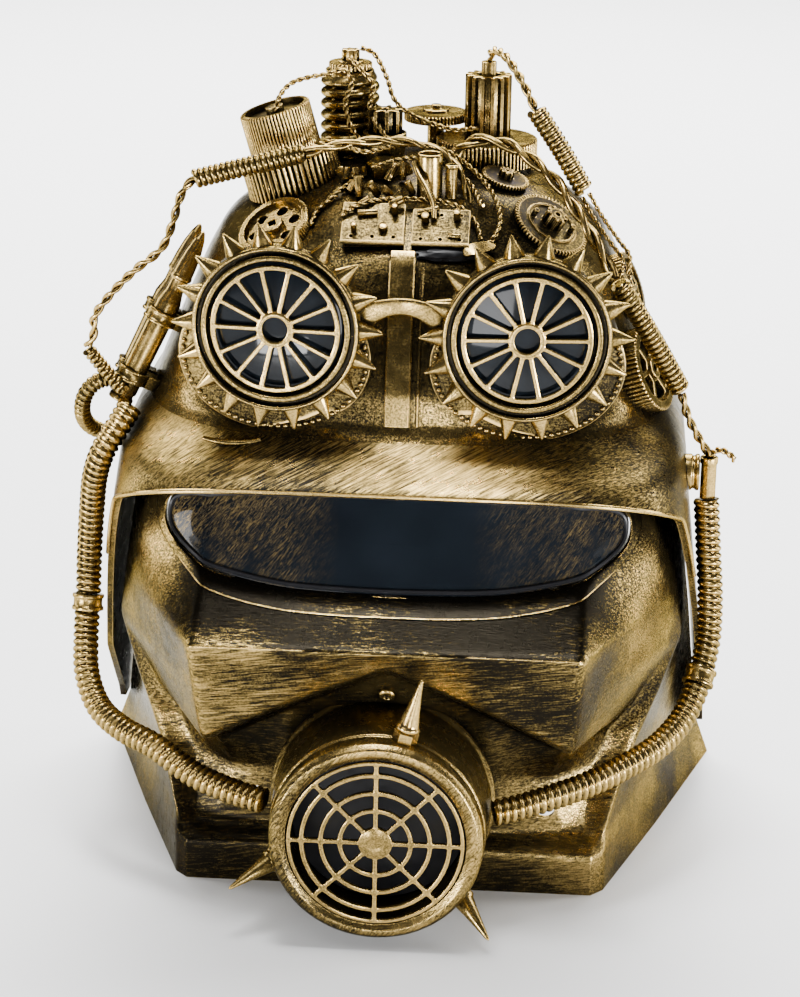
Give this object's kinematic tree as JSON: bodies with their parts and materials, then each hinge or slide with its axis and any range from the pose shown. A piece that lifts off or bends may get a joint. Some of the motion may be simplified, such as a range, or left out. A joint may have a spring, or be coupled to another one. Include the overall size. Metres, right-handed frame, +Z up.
{
  "type": "gas mask style costume mask",
  "caption": "Full-face costume mask with a hooded helmet shell, dark visor, breathing filter with spikes, spiked goggles, ribbed hoses, coils and gears, finished in aged gold.",
  "frame": {"origin": "middle of the whole mask's box, on the surface that its lower rim stands on", "axes": "+Z up, -Y the way the wearer looks, +X to the wearer's left and the viewer's right"},
  "size_m": [0.2624, 0.2162, 0.3168],
  "materials": {
    "aged_gold": "near-black brown plastic dry-brushed with antique gold, brighter on edges",
    "bright_gold": "plastic painted bright antique gold with dark recesses",
    "ribbed_hose": "close-ribbed flexible hose painted gold, dark between the ribs",
    "gold_wire": "twisted and coiled soft wire, satin gold",
    "dark_plastic": "dark brown plastic with a little gold on its edges",
    "dark_lens": "glossy black lens"
  },
  "bodies": {
    "root": {"helmet_shell": "aged_gold", "face_plate": "aged_gold", "visor_lens": "dark_lens", "centre_band": "aged_gold", "filter_can": "aged_gold", "filter_grille": "bright_gold", "filter_backing": "dark_plastic", "filter_spike_top": "bright_gold", "filter_spike_left": "bright_gold", "filter_spike_right": "bright_gold", "goggle_left_ring": "bright_gold", "goggle_left_lens": "dark_lens", "goggle_left_wheel": "bright_gold", "goggle_left_base": "dark_plastic", "goggle_right_ring": "bright_gold", "goggle_right_lens": "dark_lens", "goggle_right_wheel": "bright_gold", "goggle_right_base": "dark_plastic", "goggle_bridge": "bright_gold", "cartridge_front": "bright_gold", "cartridge_rear": "bright_gold", "cartridge_band_upper": "aged_gold", "cartridge_band_lower": "aged_gold", "hose_left_upper": "ribbed_hose", "hose_left_lower": "ribbed_hose", "hose_left_loop": "ribbed_hose", "hose_right_upper": "ribbed_hose", "hose_right_lower": "ribbed_hose", "wire_left": "gold_wire", "wire_centre": "gold_wire", "wire_right_thick": "gold_wire", "wire_right_thin": "gold_wire", "wire_right_end": "gold_wire", "wire_pinion": "gold_wire", "coil_left_top": "gold_wire", "coil_left_small": "gold_wire", "coil_right_upper": "gold_wire", "coil_right_lower": "gold_wire", "hose_left_joint": "bright_gold", "hose_right_joint": "bright_gold", "hose_right_boss": "aged_gold", "wire_tube": "bright_gold", "pulley_gear": "aged_gold", "pulley_drum": "aged_gold", "worm": "aged_gold", "worm_pinion": "bright_gold", "centre_pinion": "aged_gold", "bolt_head": "bright_gold", "disc_right": "aged_gold", "pinion_tall": "bright_gold", "disc_middle": "aged_gold", "gear_small": "bright_gold", "gear_left": "bright_gold", "gear_right": "bright_gold", "gear_temple_upper": "aged_gold", "gear_temple_lower": "aged_gold", "canister": "bright_gold", "plate_left": "aged_gold", "plate_right": "aged_gold"}
  },
  "joints": []
}
